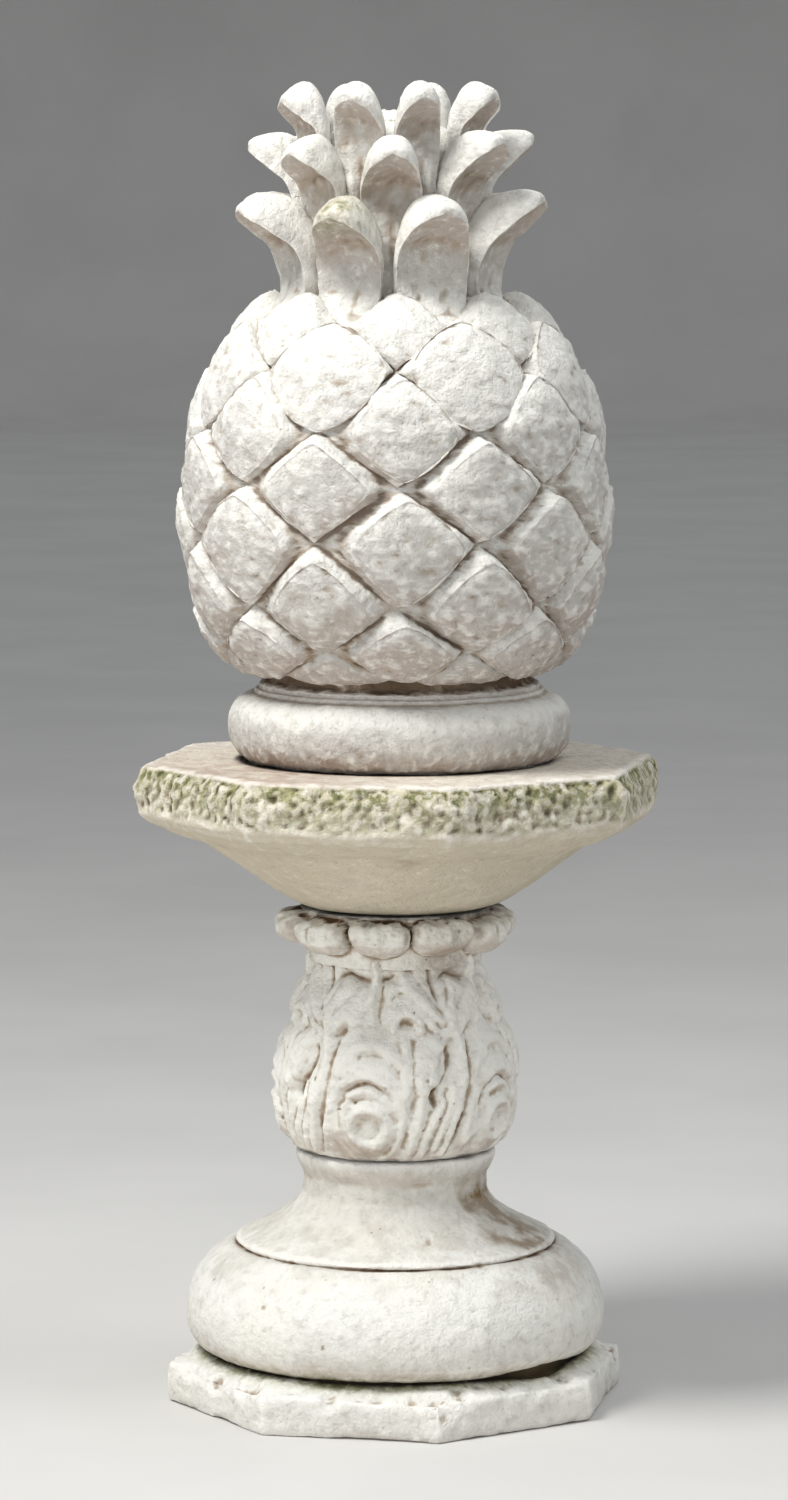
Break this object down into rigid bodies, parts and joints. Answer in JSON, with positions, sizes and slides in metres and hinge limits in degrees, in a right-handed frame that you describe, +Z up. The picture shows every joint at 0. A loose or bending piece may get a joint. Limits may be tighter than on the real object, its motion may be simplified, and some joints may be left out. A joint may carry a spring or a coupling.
{
  "type": "garden pineapple ornament",
  "caption": "Weathered cast concrete garden pineapple with a crown of curled leaves and a round foot, standing on a pedestal with octagonal top slab, acanthus bulb and octagonal plinth.",
  "frame": {"origin": "middle of the octagonal plinth's underside, on the ground", "axes": "+Z up along the turned axis, +X to the viewer's right, and the front seen in the picture faces -Y"},
  "size_m": [0.4, 0.4, 0.9999],
  "materials": {
    "pineapple_concrete": "rough cast, pale, with brown dirt in the grooves",
    "slab_concrete": "rough and pitted, with green-grey lichen on the rim",
    "baluster_concrete": "rough cast, pale grey, with dark dirt in the carving",
    "base_concrete": "worn cream, with ochre stains and chipped edges"
  },
  "bodies": {
    "root": {"base": "base_concrete", "baluster": "baluster_concrete", "slab": "slab_concrete", "pineapple": "pineapple_concrete"}
  },
  "joints": []
}
